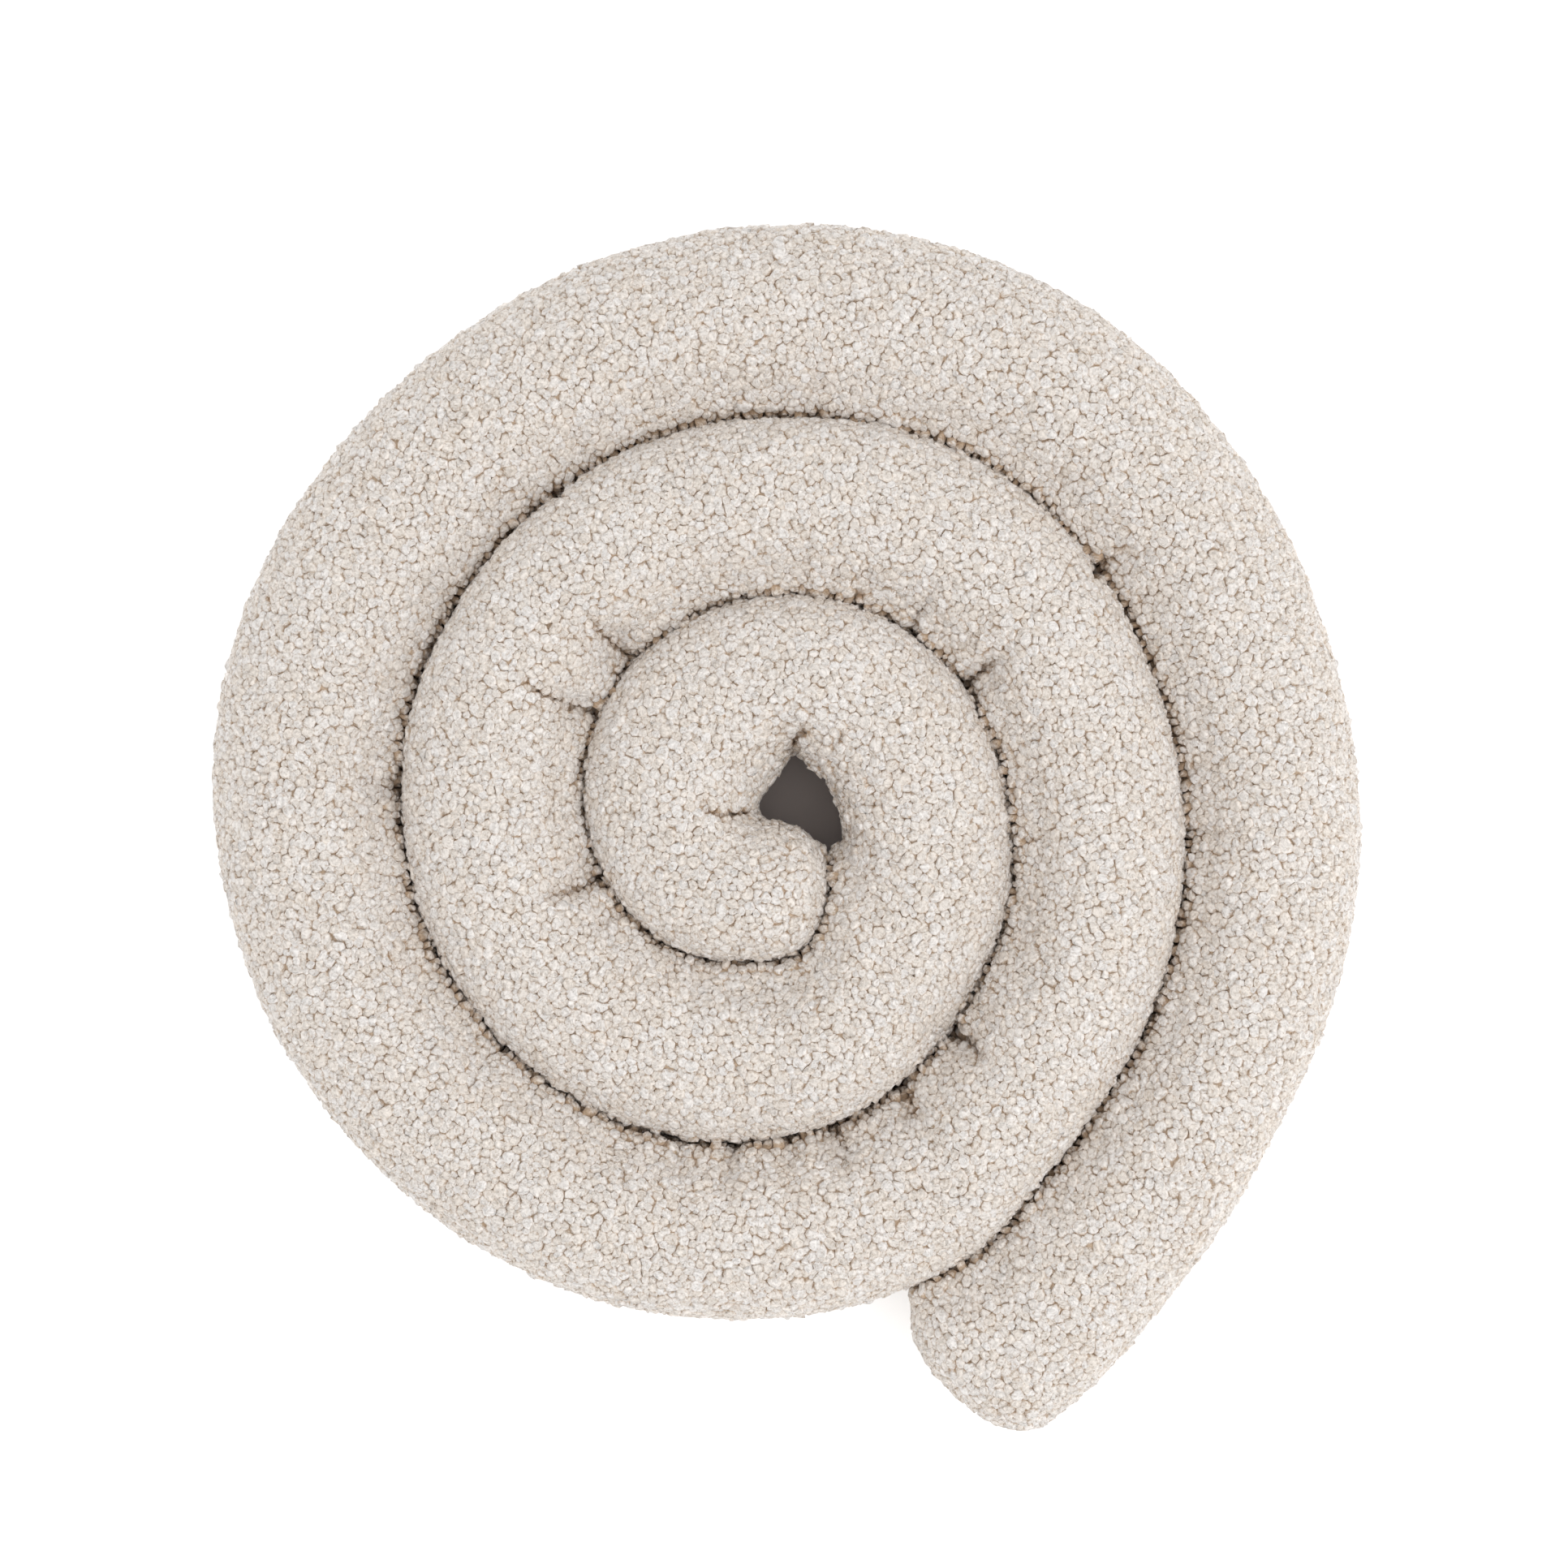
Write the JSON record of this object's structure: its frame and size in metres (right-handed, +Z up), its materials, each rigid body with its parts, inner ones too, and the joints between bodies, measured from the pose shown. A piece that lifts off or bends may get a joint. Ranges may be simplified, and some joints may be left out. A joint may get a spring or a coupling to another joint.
{
  "type": "bed bumper snake",
  "caption": "Long round filled cot bumper in curly cream pile cloth, with rounded closed ends, coiled flat into a loose spiral that lies on its underside.",
  "frame": {"origin": "middle of the coil's bounding box, on the surface that it lies on", "axes": "+Z up through the coil's open middle, +Y along the coil's longer side and away from the free end, +X to the right when seen from above"},
  "size_m": [0.7254, 0.7652, 0.1117],
  "materials": {
    "curly_cloth": "matt cream curled pile of small round tufts over a tan backing"
  },
  "bodies": {
    "root": {"snake": "curly_cloth"}
  },
  "joints": []
}
